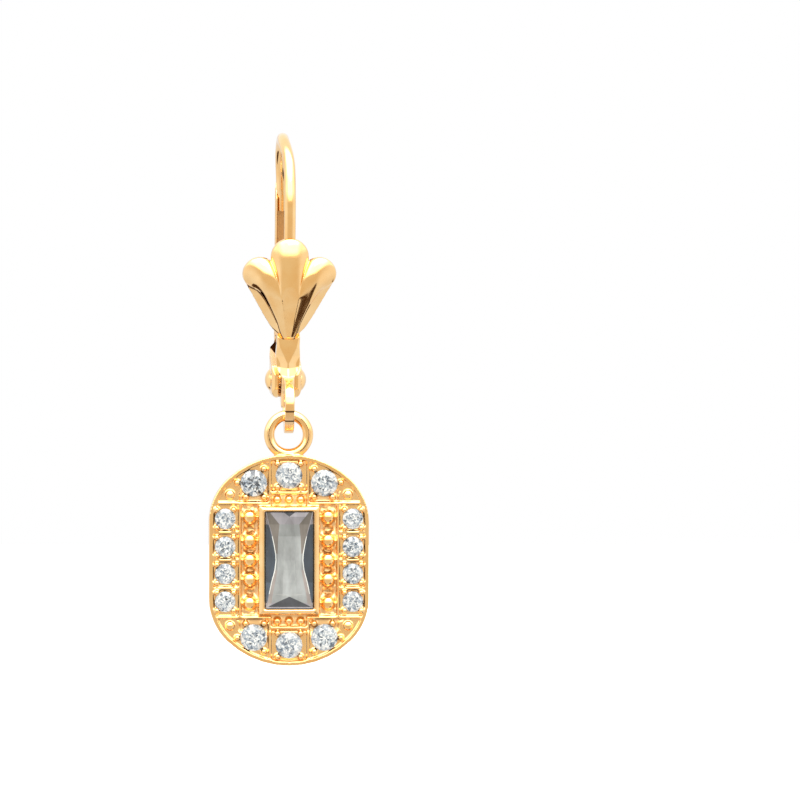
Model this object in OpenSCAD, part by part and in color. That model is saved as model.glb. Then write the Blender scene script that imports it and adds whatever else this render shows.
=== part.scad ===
// Lever-back dangle earring: a hooped ear wire with a three-lobed shell in front, a hinged lever
// behind, and a long oval pendant set with a baguette and fourteen round stones.
// X runs across the earring, -Y is its front and +Z is up.
// The origin is the inside top of the hoop, where the earring hangs on the ear.

/* [Hanging] */
// Lean of the ear wire when the earring hangs by itself, in degrees
hang_tilt = 13.5; // [10:0.5:16]

/* [Ear wire] */
// Diameter of the round wire that passes through the ear
wire_d = 0.7; // [0.6:0.05:0.75]
// Radius of the hoop, at the middle of its wire
hoop_r = 4.14; // [4.1:0.01:4.2]
// Diameter of the filed-down tip that rests in the lever
tip_d = 0.54; // [0.45:0.01:0.56]

/* [Front of the hook] */
// Width of the stem behind the shell
stem_w = 1.4; // [1.1:0.05:1.5]
// Thickness of the hinge arm between the lever's cheeks
arm_w = 0.77; // [0.7:0.01:0.8]
// Inner radius of the ring that carries the pendant
ring_in_r = 1.01; // [0.98:0.01:1.05]
// Outer radius of that ring
ring_out_r = 1.65; // [1.6:0.01:1.7]
// Width of the flat stock of that ring
ring_w = 0.57; // [0.45:0.01:0.6]
// Width of the open seam in that ring
seam_w = 0.06; // [0.05:0.01:0.1]

/* [Shell] */
// Distance from the point where the lobes' lines meet to the middle of the centre lobe's head
lobe_mid_reach = 5.62; // [5.5:0.01:5.7]
// Radius of the centre lobe's head
lobe_mid_r = 1.14; // [1.05:0.01:1.2]
// Distance from the same point to the middle of a side lobe's head
lobe_side_reach = 4.92; // [4.8:0.01:5]
// Radius of a side lobe's head
lobe_side_r = 1.0; // [0.95:0.01:1.05]
// Angle of a side lobe from upright
lobe_side_at = 21.2; // [20.5:0.1:22]
// Greatest depth of the shell, front to back
shell_depth = 1.33; // [1.2:0.01:1.4]
// Depth of the shell's wall at its edge
shell_wall = 0.36; // [0.3:0.01:0.5]
// How far the front is drawn in between tip and heads, as a share of its half width
shell_pinch = 0.18; // [0:0.01:0.2]
// How far the side wall spreads outward at the tip
shell_skirt = 0.40; // [0.2:0.01:0.45]

/* [Lever] */
// Width over the cheeks at the hinge
cheek_w = 1.8; // [1.75:0.01:1.9]
// Width of the slot between the cheeks
slot_w = 0.92; // [0.9:0.01:0.96]
// Width of the upright leg
leg_w = 0.95; // [0.9:0.01:1]
// Width of the groove in the upright leg
groove_w = 0.67; // [0.66:0.01:0.7]
// Diameter of the rivet's shank
rivet_d = 0.64; // [0.55:0.01:0.7]
// Diameter of the rivet's domed heads
rivet_head_d = 1.36; // [1.2:0.01:1.4]
// Height of a domed head
rivet_head_h = 0.32; // [0.25:0.01:0.35]

/* [Pendant] */
// Width of the pendant
plate_w = 9.6; // [9.5:0.05:9.8]
// Height of the pendant without its ring
plate_h = 12.66; // [12.5:0.05:12.8]
// Thickness of the pendant's wall, front to back
plate_t = 1.24; // [1.1:0.01:1.4]
// Radius of the pendant's four corners
corner_r = 3.6; // [3.5:0.05:3.8]
// Length of the straight sides
straight_h = 4.5; // [4.3:0.05:4.7]
// Width of the raised rim
rim_w = 0.24; // [0.2:0.01:0.28]
// How deep the field lies below the rim
field_depth = 0.32; // [0.25:0.01:0.4]
// Radius of the pendant's ring, at the middle of its wire
bail_r = 1.165; // [1.15:0.005:1.18]
// Wire diameter of the pendant's ring
bail_d = 0.64; // [0.58:0.01:0.66]

/* [Stones] */
// Diameter of the six large round stones
big_stone_d = 1.62; // [1.5:0.01:1.65]
// Diameter of the eight small round stones
small_stone_d = 1.25; // [1.15:0.01:1.28]
// Width of the baguette
baguette_w = 2.84; // [2.8:0.01:2.86]
// Height of the baguette
baguette_h = 5.75; // [5.7:0.01:5.78]
// Clearance round each set stone
seat_gap = 0.03; // [0.02:0.005:0.04]

/* [Hidden] */
// Places in the side plane of the hook, as [back, up] from the middle of the hoop
rivet_at = [-1.10, -10.42];
ring_at = [-5.11, -11.08];

// Sizes that follow from those above
wire_r = wire_d / 2;
run_gap = 0.03;
arm_bore_r = rivet_d / 2 + run_gap;
arm_end_r = 0.76;
hoop_mid_z = wire_r - hoop_r;
function hung(p) = [p.x * cos(hang_tilt) - p.y * sin(hang_tilt),
                    p.x * sin(hang_tilt) + p.y * cos(hang_tilt) + hoop_mid_z];

// Stem, neck and hinge arm, seen from the side
stem_outline = [
    [-4.09, -2.50], [-3.80, -2.30], [-3.57, -2.48], [-3.28, -3.38], [-3.22, -3.68], [-3.30, -4.58],
    [-3.35, -5.60], [-3.28, -7.10], [-3.07, -7.76], [-2.80, -8.50], [-2.45, -9.05], [-1.95, -9.35],
    [-1.10, -9.66], [-1.10, -10.42], [-1.70, -10.94], [-2.30, -11.43], [-3.53, -11.59],
    [-3.90, -11.40], [-3.95, -10.60], [-4.30, -10.00], [-4.60, -9.50], [-4.25, -9.00],
    [-4.10, -8.30], [-4.10, -7.50], [-3.53, -7.42]
];
// Half width of the stem and neck at each height, as a share of the stem's width
stem_widths = [[-2.2, 0.30], [-2.8, 0.44], [-4.0, 0.50], [-7.6, 0.50], [-8.4, 0.41], [-9.2, 0.30]];
leg_foot_z = -3.0;

// The shell's back edge leans from its top to its tip
shell_tip_z = -7.26;
shell_back_y = -3.60;
shell_lean = 0.113;
tip_blunt = 0.45;
head_skirt = 0.07;
tip_lift = 0.42;
tip_depth = 0.76;
tip_round = 0.04;
lobe_mid_half = asin(lobe_mid_r / lobe_mid_reach);
lobe_side_half = asin(lobe_side_r / lobe_side_reach);
shell_half = lobe_side_at + lobe_side_half;
// Valleys between the lobes, as a share of the front's height: low on the shell and at the heads
low_valley = 0.10;
head_valley = 0.34;
// How much a side lobe slopes outward, and how far across it that slope goes before the flank
side_turn = 0.62;
flank_from = 0.78;
// How much the middle lobe's edges bulge low on the shell
lobe_bulge = 0.25;
lobe_steps = 10;
reach_steps = 14;

// The lever from the side: its outer outline, then the channel that is open upward and forward
lever_outline = [
    [-2.08, -9.33], [-2.40, -9.85], [-2.40, -10.69], [-2.08, -11.23], [-1.68, -11.40],
    [-1.00, -11.52], [0.75, -11.60], [2.04, -10.70], [3.72, -9.83], [4.20, -9.45], [4.45, -8.95],
    [4.65, -7.40], [4.81, -5.00], [4.93, -3.00], [5.08, 0.22], [5.05, 0.42], [4.83, 0.52],
    [4.37, 0.02], [3.93, -0.23], [3.87, -0.40], [3.87, -3.72], [3.72, -3.76], [3.44, -4.16],
    [3.36, -5.00], [3.24, -6.29], [3.10, -8.60], [2.86, -9.02]
];
channel_outline = [
    [-3.00, -8.00], [-3.00, -12.20], [-1.00, -12.20], [-1.00, -11.24], [0.66, -11.28],
    [1.90, -10.42], [3.55, -9.55], [4.00, -8.85], [4.20, -7.38], [4.38, -4.98], [4.50, -3.00],
    [4.62, 0.10], [4.64, 1.00], [3.00, 1.00], [3.00, -8.00]
];
// Where the lever narrows from its cheeks to its upright leg, seen from above
cheek_end_y = 0.6;
taper_y = 2.0;
leg_start_y = 3.1;
taper_w = 1.6;
leg_start_z = -8.5;

spring_w = 0.58;
spring_outline = [
    [-2.20, -8.88], [0.35, -9.06], [1.90, -9.42], [2.75, -9.92], [3.45, -9.55], [3.42, -9.33],
    [2.78, -9.67], [2.02, -9.22], [0.40, -8.86], [-2.20, -8.62]
];

// The pendant hangs straight down from the ring
link_gap = 0.13;
bail_sink = 0.285;
bail_in_r = bail_r - bail_d / 2;
bail_z = hung(ring_at).y - ring_in_r + link_gap - bail_in_r;
plate_z = bail_z - bail_r - bail_d / 2 + bail_sink - plate_h / 2;
rim_y = -plate_t / 2;
field_y = rim_y + field_depth;
corner_x = plate_w / 2 - corner_r;
corner_z = straight_h / 2;
// Radius of the end arcs, which meet the corner arcs smoothly
end_rise = plate_h / 2 - corner_z;
end_r = (corner_x * corner_x + end_rise * end_rise - corner_r * corner_r) / (2 * (end_rise - corner_r));
end_mid_z = plate_h / 2 - end_r;
end_half = atan(corner_x / (corner_z - end_mid_z));
arc_steps = 10;

// Groove round the lower edge of the pendant
edge_groove_w = 0.26;
edge_groove_depth = 0.40;
edge_groove_top_z = -4.6;

// Raised work on the field
ridge_w = 0.16;
ridge_y = rim_y + 0.06;
bezel_w = 3.68;
bezel_h = 6.46;
bezel_y = rim_y - 0.48;
stone_top_y = rim_y - 0.18;
baguette_top_y = bezel_y + 0.10;
baguette_deep = 1.15;
bead_r = 0.44;
bead_x = 2.34;
bead_rows = [-2.58, -1.17, 0, 1.17, 2.58];
small_bead_r = 0.23;
small_bead_z = 3.64;
small_bead_columns = [-0.7, 0, 0.7];
corner_bead_r = 0.27;
corner_bead_at = [3.54, 3.93];
prong_r = 0.17;
panel_x = 1.15;
panel_z = 3.42;
cap_ridge_z = 4.05;
column_ridge_x = 2.95;
divider_rows = [-1.67, 0, 1.67];

// Round stones: name, place across, place up, diameter
side_rows = [2.48, 0.81, -0.81, -2.48];
round_stones = concat(
    [["stone_top_left", -2.12, 4.63, big_stone_d],
     ["stone_top_centre", 0, 5.08, big_stone_d],
     ["stone_top_right", 2.12, 4.63, big_stone_d],
     ["stone_bottom_left", -2.12, -4.63, big_stone_d],
     ["stone_bottom_centre", 0, -5.08, big_stone_d],
     ["stone_bottom_right", 2.12, -4.63, big_stone_d]],
    [for (i = [0:3]) [str("stone_left_", i + 1), -3.83, side_rows[i], small_stone_d]],
    [for (i = [0:3]) [str("stone_right_", i + 1), 3.83, side_rows[i], small_stone_d]]
);
// Prongs round a stone of each kind, for the upper right quarter, from the stone's middle
corner_prongs = [[-0.61, 0.84], [0.99, 0.02], [0.48, -0.84], [-0.62, -0.84]];
end_prongs = [[-0.69, 0.70], [0.69, 0.70], [-0.69, -0.70], [0.69, -0.70]];
side_prongs = [[-0.50, 0.54], [0.50, 0.54], [-0.50, -0.54], [0.50, -0.54]];

// Cut of a round stone, as shares of its radius
table_share = 0.56;
crown_share = 0.32;
girdle_share = 0.06;
pavilion_share = 0.84;

// Placement helpers

// Draws in the side plane of the hook: the drawing's x runs back and its y runs up
module from_side() {
    rotate([90, 0, 90]) children();
}

module side_plate(outline, width) {
    from_side() linear_extrude(width, center = true) polygon(outline);
}

// Puts the ear wire's own upright frame where it hangs
module on_hook() {
    translate([0, 0, hoop_mid_z]) rotate([hang_tilt, 0, 0]) children();
}

// Puts the pendant's own frame, with its middle at zero, where it hangs
module on_pendant() {
    translate([0, hung(ring_at).x, plate_z]) children();
}

// Points a stone's or bead's own up at the viewer
module facing(x, y, z) {
    translate([x, y, z]) rotate([90, 0, 0]) children();
}

// Ear hook

module hoop_wire() {
    tip_top = 0.29;
    tip_neck = 0.5;
    tip_len = 1.4;
    join = 0.1;
    shoulder = 0.02;
    mirror([0, 1, 0]) from_side() rotate_extrude(angle = 180 - asin(tip_top / hoop_r), $fn = 120)
        translate([hoop_r, 0]) circle(wire_r, $fn = 40);
    translate([0, -hoop_r, leg_foot_z]) cylinder(r = wire_r, h = -leg_foot_z, $fn = 40);
    translate([0, hoop_r - 0.01, tip_top + join]) mirror([0, 0, 1]) {
        cylinder(r1 = wire_r - shoulder, r2 = tip_d / 2, h = tip_neck, $fn = 40);
        cylinder(r = tip_d / 2, h = tip_len + join, $fn = 40);
    }
}

module stem_and_arm() {
    half = [for (w = stem_widths) [w[1] * stem_w, w[0]]];
    arm_half = arm_w / 2;
    low_z = -13;
    right = concat(half, [[arm_half, -9.5], [arm_half, low_z]]);
    left = [for (i = [len(right) - 1:-1:0]) [-right[i].x, right[i].y]];
    intersection() {
        side_plate(stem_outline, stem_w + 1);
        rotate([90, 0, 0]) linear_extrude(20, center = true) polygon(concat(right, left));
    }
}

module ring_seam() {
    rotate([7, 0, 0]) translate([-ring_w, -seam_w / 2, 0]) cube([2 * ring_w, seam_w, 2 * ring_out_r]);
}

module split_ring() {
    difference() {
        from_side() rotate_extrude($fn = 96)
            translate([ring_in_r, -ring_w / 2]) square([ring_out_r - ring_in_r, ring_w]);
        ring_seam();
    }
}

module ear_hook() {
    color("gold") on_hook() difference() {
        union() {
            hoop_wire();
            stem_and_arm();
            translate([0, ring_at.x, ring_at.y]) split_ring();
            translate([0, rivet_at.x, rivet_at.y]) rotate([0, 90, 0])
                cylinder(r = arm_end_r, h = arm_w, center = true, $fn = 64);
        }
        translate([0, rivet_at.x, rivet_at.y]) rotate([0, 90, 0])
            cylinder(r = arm_bore_r, h = 2 * arm_w, center = true, $fn = 48);
    }
}

// Shell: a fan of three teardrop lobes that narrow to a blunt lower tip

// Distance from the lobes' common point to the shell's edge, at an angle from upright
function edge_reach(angle) =
    let (side = abs(angle) > lobe_mid_half,
         reach = side ? lobe_side_reach : lobe_mid_reach,
         r = side ? lobe_side_r : lobe_mid_r,
         off = side ? abs(angle) - lobe_side_at : angle)
    reach * cos(off) + sqrt(max(0, r * r - pow(reach * sin(off), 2)));

// How far an angle is across its own lobe, from -1 to 1
function lobe_share(angle) =
    let (off = abs(angle) - lobe_side_at)
    abs(angle) < lobe_mid_half ? angle / lobe_mid_half
        : off < 0 ? off / (lobe_side_at - lobe_mid_half)
        : off / lobe_side_half;

function smooth_step(low, high, x) =
    let (t = min(1, max(0, (x - low) / (high - low))))
    t * t * (3 - 2 * t);

// Height of a side lobe over the wall at a place across it, as a share: domed at the head, and
// sloping away from the middle lobe lower down
function side_lobe(across, valley, slope, head) =
    let (outward = (across + 1) / 2,
         edge = max(0, (outward - flank_from) / (1 - flank_from)),
         domed = across < 0 ? 1 - valley * pow(across, 2) : sqrt(max(0, 1 - pow(across, 2))),
         sloped = (1 - valley - slope * outward) * sqrt(max(0, 1 - pow(edge, 2))))
    sloped + (domed - sloped) * head;

// Depth of the front over the back edge, at a share of the way from the tip to the edge
function front_depth(share, angle) =
    let (crest = 0.56,
         tip = sqrt(1 - pow(1 - min(1, share / tip_round), 2)),
         beyond = max(0, (share - crest) / (1 - crest)),
         swell = pow(max(0, 1 - pow(beyond, 2.2)), 0.8),
         height = tip_depth + (shell_depth - tip_depth) * min(1, share / crest) - shell_wall,
         across = lobe_share(angle),
         head = smooth_step(0.5, 0.85, share),
         valley = low_valley + (head_valley - low_valley) * head,
         middle = 1 - valley * (0.45 * pow(across, 2) + 0.55 * pow(across, 6)),
         lobe = abs(angle) < lobe_mid_half ? middle
             : side_lobe(across, valley, side_turn * share / height, head))
    shell_wall + max(0, height * lobe) * swell * tip;

function back_y(z) = shell_back_y - shell_lean * (z - shell_tip_z);

// Angles are spaced so that each lobe's edge is evenly round
function lobe_angles(from, to) =
    [for (i = [1:lobe_steps]) (from + to) / 2 - (to - from) / 2 * cos(180 * i / lobe_steps)];
shell_angles = concat(
    [-shell_half],
    lobe_angles(-shell_half, -lobe_mid_half),
    lobe_angles(-lobe_mid_half, lobe_mid_half),
    lobe_angles(lobe_mid_half, shell_half)
);

// A point across the fan, as [x, z]
function fan_point(share, angle) =
    let (a = sign(angle) * shell_half * pow(abs(angle) / shell_half, 1 - lobe_bulge * (1 - share)),
         tip_d = tip_blunt / cos(a),
         d = tip_d + share * (edge_reach(a) - tip_d))
    [d * sin(a), shell_tip_z - tip_blunt + d * cos(a)];

function front_point(share, angle) =
    let (p = fan_point(share, angle))
    [p.x * (1 - shell_pinch * (1 - pow(share, 3))), back_y(p.y) - front_depth(share, angle), p.y];

// The back edge lies behind the front's edge and spreads outward from it along the flanks; at the
// tip its corners lie higher, so that the lower end is rounded
function back_point(share, angle) =
    let (p = fan_point(share, angle),
         flank = max(0, abs(angle) - lobe_side_at) / lobe_side_half,
         spread = share < 1 ? head_skirt + shell_skirt * (1 - share) : head_skirt * pow(flank, 2),
         x = p.x + spread * (share > 0 && share < 1 ? sign(angle) : angle / shell_half),
         z = p.y + tip_lift * pow(1 - share, 6) * pow(angle / shell_half, 2))
    [x, back_y(z), z];

module shell_body() {
    n = len(shell_angles);
    m = reach_steps + 1;
    shares = concat([0, tip_round], [for (j = [1:reach_steps]) sin(90 * j / reach_steps)]);
    front = [for (s = shares) for (a = shell_angles) front_point(s, a)];
    // Round the front's edge: up the left flank, over the heads, down the right flank, along the tip
    rim = concat(
        [for (j = [0:m - 1]) [j, 0]],
        [for (i = [0:n - 1]) [m, i]],
        [for (j = [m - 1:-1:0]) [j, n - 1]],
        [for (i = [n - 2:-1:1]) [0, i]]
    );
    back = [for (r = rim) back_point(shares[r[0]], shell_angles[r[1]])];
    middle_z = shell_tip_z + 3;
    b = len(front);
    k = len(rim);
    centre = b + k;
    faces = concat(
        [for (j = [0:m - 1]) for (i = [0:n - 2])
            each [[j * n + i, (j + 1) * n + i, j * n + i + 1],
                  [j * n + i + 1, (j + 1) * n + i, (j + 1) * n + i + 1]]],
        [for (i = [0:k - 1])
            let (next = (i + 1) % k, p = rim[i][0] * n + rim[i][1], q = rim[next][0] * n + rim[next][1])
            each [[p, b + i, q], [q, b + i, b + next]]],
        [for (i = [0:k - 1]) [b + i, centre, b + (i + 1) % k]]
    );
    polyhedron(concat(front, back, [[0, back_y(middle_z), middle_z]]), faces);
}

module shell_ornament() {
    wire_pocket_gap = 0.04;
    color("gold") on_hook() difference() {
        shell_body();
        translate([0, -hoop_r, leg_foot_z - wire_pocket_gap])
            cylinder(r = wire_r + wire_pocket_gap, h = 5, $fn = 40);
    }
}

// Lever: a bent channel with two cheeks at the hinge and a grooved upright leg

// Seen from above, the lower arm's outline for given widths at the cheeks, the bend and the leg
module arm_plan(cheeks, bend, leg) {
    half = [
        [cheeks / 2, -4], [cheeks / 2, cheek_end_y],
        [bend / 2, taper_y], [leg / 2, leg_start_y], [leg / 2, 6]
    ];
    back = [for (i = [len(half) - 1:-1:0]) [-half[i].x, half[i].y]];
    translate([0, 0, -13]) linear_extrude(13 + leg_start_z) polygon(concat(half, back));
}

module lever_form(outline, cheeks, bend, leg) {
    intersection() {
        side_plate(outline, 2 * cheeks);
        union() {
            arm_plan(cheeks, bend, leg);
            translate([-leg / 2, leg_start_y - 0.3, leg_start_z - 0.5]) cube([leg, 4, 12]);
        }
    }
}

module lever() {
    color("gold") on_hook() difference() {
        lever_form(lever_outline, cheek_w, taper_w, leg_w);
        lever_form(channel_outline, slot_w, slot_w, groove_w);
        translate([0, rivet_at.x, rivet_at.y]) rotate([0, 90, 0])
            cylinder(r = rivet_d / 2 + run_gap, h = 2 * cheek_w, center = true, $fn = 48);
    }
}

module leaf_spring() {
    color("goldenrod") on_hook() side_plate(spring_outline, spring_w);
}

// Rivet with a domed head on each side

// Half of the rivet's section, on the side of one head
module rivet_half() {
    dome_r = (pow(rivet_head_d / 2, 2) + pow(rivet_head_h, 2)) / (2 * rivet_head_h);
    base = cheek_w / 2 + run_gap;
    square([rivet_d / 2, base + 0.1]);
    intersection() {
        translate([0, base + rivet_head_h - dome_r]) circle(dome_r, $fn = 96);
        translate([0, base]) square([rivet_head_d, rivet_head_h + 0.1]);
    }
}

module hinge_rivet() {
    color("gold") on_hook() translate([0, rivet_at.x, rivet_at.y]) rotate([0, 90, 0])
        rotate_extrude($fn = 64) {
            rivet_half();
            mirror([0, 1]) rivet_half();
        }
}

// Pendant: outline, plate and rim

// Points along an arc, without its last one
function arc(middle, r, from, to) =
    [for (i = [0:arc_steps - 1])
        let (a = from + (to - from) * i / arc_steps)
        [middle.x + r * cos(a), middle.y + r * sin(a)]];

// The long oval, with every edge moved in by the same amount
function oval(inset) = concat(
    arc([corner_x, corner_z], corner_r - inset, 0, 90 - end_half),
    arc([0, end_mid_z], end_r - inset, 90 - end_half, 90 + end_half),
    arc([-corner_x, corner_z], corner_r - inset, 90 + end_half, 180),
    arc([-corner_x, -corner_z], corner_r - inset, 180, 270 - end_half),
    arc([0, -end_mid_z], end_r - inset, 270 - end_half, 270 + end_half),
    arc([corner_x, -corner_z], corner_r - inset, 270 + end_half, 360)
);

// Stands an outline up in the pendant's plane, between two depths
module layer(front, back) {
    translate([0, back, 0]) rotate([90, 0, 0]) linear_extrude(back - front) children();
}

module plate_and_rim() {
    difference() {
        layer(rim_y, plate_t / 2) polygon(oval(0));
        layer(rim_y - 1, field_y) polygon(oval(rim_w));
        difference() {
            layer(-edge_groove_w / 2, edge_groove_w / 2) polygon(oval(-1));
            layer(-plate_t, plate_t) polygon(oval(edge_groove_depth));
            translate([-plate_w, -plate_t, edge_groove_top_z]) cube([2 * plate_w, 2 * plate_t, 2 * plate_h]);
        }
    }
}

module bail() {
    translate([0, 0, bail_z - plate_z]) rotate([90, 0, 0])
        rotate_extrude($fn = 96) translate([bail_r, 0]) circle(bail_d / 2, $fn = 40);
}

// A straight ridge on the field, between two corners
module ridge(x0, x1, z0, z1) {
    layer(ridge_y, field_y + 0.1) translate([x0, z0]) square([x1 - x0, z1 - z0]);
}

module in_four_quarters() {
    for (sx = [0, 1]) for (sz = [0, 1])
        mirror([sx, 0, 0]) mirror([0, 0, sz]) children();
}

module ridges() {
    h = ridge_w / 2;
    end_z = plate_h / 2 - rim_w;
    side_x = plate_w / 2 - rim_w / 2;
    in_four_quarters() {
        ridge(panel_x - h, panel_x + h, panel_z - h, end_z - 0.1);
        ridge(panel_x - h, 4.3, panel_z - h, panel_z + h);
        ridge(column_ridge_x - h, column_ridge_x + h, -0.1, panel_z + h);
        ridge(-panel_x, panel_x, cap_ridge_z - h, cap_ridge_z + h);
    }
    for (z = divider_rows) for (s = [0, 1])
        mirror([s, 0, 0]) ridge(column_ridge_x, side_x, z - h, z + h);
}

module beads() {
    for (s = [-1, 1]) {
        for (z = bead_rows) translate([s * bead_x, field_y, z]) sphere(bead_r, $fn = 40);
        for (x = small_bead_columns)
            translate([x, field_y - 0.1, s * small_bead_z]) sphere(small_bead_r, $fn = 32);
    }
    in_four_quarters() translate([corner_bead_at.x, field_y - 0.1, corner_bead_at.y])
        sphere(corner_bead_r, $fn = 32);
}

module prong() {
    root = 0.1;
    h = field_y - stone_top_y + root;
    translate([0, field_y + root, 0]) rotate([90, 0, 0]) rotate_extrude($fn = 32)
        polygon([[0, 0], [prong_r, 0], [prong_r, h - 0.15], [0.7 * prong_r, h - 0.04], [0, h]]);
}

module prongs() {
    for (stone = round_stones)
        for (p = abs(stone[1]) > 3 ? side_prongs : stone[1] == 0 ? end_prongs : corner_prongs)
            let (side = stone[1] < 0 ? -1 : 1, end = stone[2] < 0 ? -1 : 1)
            translate([stone[1] + side * p.x, 0, stone[2] + end * p.y]) prong();
}

module bezel() {
    layer(bezel_y, field_y + 0.1) square([bezel_w, bezel_h], center = true);
}

// Seats: the shape of a set stone, a little larger

module round_seat(d) {
    r = d / 2;
    top = (crown_share + girdle_share / 2) * r + seat_gap;
    rotate_extrude($fn = 64) polygon([
        [0, -(pavilion_share + girdle_share / 2) * r - 2 * seat_gap],
        [r + seat_gap, -girdle_share / 2 * r],
        [r + seat_gap, girdle_share / 2 * r],
        [table_share * r + seat_gap, top],
        [0, top]
    ]);
}

module pendant_frame() {
    color("gold") on_pendant() difference() {
        union() {
            plate_and_rim();
            bail();
            ridges();
            beads();
            prongs();
            bezel();
        }
        for (stone = round_stones)
            facing(stone[1], girdle_y(stone[3]), stone[2]) round_seat(stone[3]);
        facing(0, baguette_top_y - 1, 0) translate([0, 0, -baguette_deep - 1 - seat_gap])
            linear_extrude(baguette_deep + 3)
            square([baguette_w, baguette_h] + 2 * [seat_gap, seat_gap], center = true);
    }
}

// Stones

function girdle_y(d) = stone_top_y + (crown_share + girdle_share / 2) * d / 2;

// A ring of points round the stone's axis
function gem_ring(count, r, z, turn) =
    [for (i = [0:count - 1]) let (a = 360 * (i + turn) / count) [r * cos(a), r * sin(a), z]];

// Round cut: an eight-sided table, a sixteen-sided girdle and a point below
module brilliant(d) {
    r = d / 2;
    half_girdle = girdle_share / 2 * r;
    crown = half_girdle + crown_share * r;
    points = concat(
        gem_ring(8, table_share * r, crown, 0),
        gem_ring(16, r, half_girdle, 0),
        gem_ring(16, r, -half_girdle, 0),
        [[0, 0, -half_girdle - pavilion_share * r]]
    );
    upper = 8;
    lower = 24;
    point = 40;
    faces = concat(
        [[for (i = [7:-1:0]) i]],
        [for (i = [0:7])
            let (t = (i + 1) % 8, g = 2 * i, after = upper + (g + 2) % 16)
            each [[i, upper + (g + 1) % 16, upper + g], [i, t, upper + (g + 1) % 16],
                  [t, after, upper + (g + 1) % 16]]],
        [for (i = [0:15])
            let (n = (i + 1) % 16)
            each [[upper + i, upper + n, lower + i], [lower + i, upper + n, lower + n]]],
        [for (i = [0:15]) [lower + i, lower + (i + 1) % 16, point]]
    );
    polyhedron(points, faces);
}

// Baguette: two rows of steps above the girdle and three below, as [share of size, depth]
module baguette() {
    steps = [[0.70, 0], [0.88, 0.10], [1, 0.26], [1, 0.34], [0.74, 0.66], [0.42, 0.92], [0.10, 1.12]];
    n = len(steps);
    points = [for (s = steps) for (c = [[1, 1], [-1, 1], [-1, -1], [1, -1]])
        [c.x * (baguette_w / 2 - (1 - s[0]) * baguette_w / 2),
         c.y * (baguette_h / 2 - (1 - s[0]) * baguette_w / 2), -s[1]]];
    faces = concat(
        [[3, 2, 1, 0]],
        [for (k = [0:n - 2]) for (i = [0:3])
            let (a = 4 * k + i, b = 4 * k + (i + 1) % 4) [a, b, b + 4, a + 4]],
        [[for (i = [0:3]) 4 * (n - 1) + i]]
    );
    polyhedron(points, faces);
}

module centre_stone() {
    color("lightsteelblue") on_pendant() facing(0, baguette_top_y, 0) baguette();
}

module round_stone(stone) {
    color("lavender") on_pendant() facing(stone[1], girdle_y(stone[3]), stone[2]) brilliant(stone[3]);
}

ear_hook();
shell_ornament();
lever();
leaf_spring();
hinge_rivet();
pendant_frame();
centre_stone();
for (stone = round_stones)
    round_stone(stone);
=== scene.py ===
"""Visual model of a lever-back dangle earring: cast gold, a baguette and fourteen round stones."""

import math
import random

import bmesh
import bpy
import numpy as np
from mathutils import Matrix, Vector


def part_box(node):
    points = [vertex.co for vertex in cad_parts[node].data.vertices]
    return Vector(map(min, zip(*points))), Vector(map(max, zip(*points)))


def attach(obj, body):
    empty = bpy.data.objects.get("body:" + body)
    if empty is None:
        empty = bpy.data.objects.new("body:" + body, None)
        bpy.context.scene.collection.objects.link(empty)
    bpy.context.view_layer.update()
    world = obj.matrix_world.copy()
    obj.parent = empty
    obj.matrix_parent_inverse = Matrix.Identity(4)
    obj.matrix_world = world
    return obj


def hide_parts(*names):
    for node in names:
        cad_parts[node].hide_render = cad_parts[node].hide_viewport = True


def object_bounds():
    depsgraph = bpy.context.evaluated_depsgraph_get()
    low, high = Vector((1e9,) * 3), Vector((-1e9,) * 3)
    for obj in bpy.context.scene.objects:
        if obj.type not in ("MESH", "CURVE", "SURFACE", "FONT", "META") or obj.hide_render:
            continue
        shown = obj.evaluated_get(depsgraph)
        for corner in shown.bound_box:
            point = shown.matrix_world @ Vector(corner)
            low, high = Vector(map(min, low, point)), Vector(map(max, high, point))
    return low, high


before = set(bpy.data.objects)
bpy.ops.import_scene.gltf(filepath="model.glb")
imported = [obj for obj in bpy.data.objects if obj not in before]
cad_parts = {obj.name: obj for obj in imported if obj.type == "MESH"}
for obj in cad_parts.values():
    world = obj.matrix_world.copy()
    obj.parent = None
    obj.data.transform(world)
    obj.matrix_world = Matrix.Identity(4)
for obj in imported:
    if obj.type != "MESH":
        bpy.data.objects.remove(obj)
CAD_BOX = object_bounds()
random.seed(11)

# Shapes are worked out in millimetres and scaled to metres at the end
MM = 0.001

# Marks say how deep a point lies in the cast work, and how much shade is painted there: 0 on top, 1 in a
# recess and this in a dark crease; painted dark reflections use it too
CREASE = 2.0

# A pair without a note of its own is where an effect begins and where it is full, for fade()

# Ear wire, in the upright frame of the hook
HANG_TILT = math.radians(13.5)
WIRE_R = 0.35
HOOP_R = 4.14
HOOK = Matrix.Translation((0, 0, WIRE_R - HOOP_R)) @ Matrix.Rotation(HANG_TILT, 4, "X")
# The bent wire leans a little to one side on its way over: (angle on the hoop in degrees, offset)
WIRE_SWAY = ((0, -0.09), (45, -0.22), (90, -0.25), (135, 0.0), (180, 0.0))
# The hoop is drawn afresh from its leg's foot, and the CAD copy is kept only below the cut
CUT_Z = -2.7
LEG_FOOT_Z = -3.2
# The wire's end: where it leaves the hoop's arc, where it is thin and where it stops
END_ARC_Z = 0.29
END_THIN_Z = -0.11
END_Z = -1.08
END_R = 0.27
END_INSET = 0.01
END_DOME = 0.12
END_DOME_ANGLES = (0, 0.6, 1.0, 1.3)
# How much of the sway is left where the end is thin and where it stops
END_SWAY = (0.7, 0.6)

# Split ring: its middle as (back, up), and its open seam in degrees round it
RING_AT = (-5.11, -11.08)
RING_IN_R = 1.01
RING_OUT_R = 1.65
RING_W = 0.57
RING_SOFT = 0.07
SEAM_AT = 97.0
SEAM_HALF = 1.1
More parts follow.
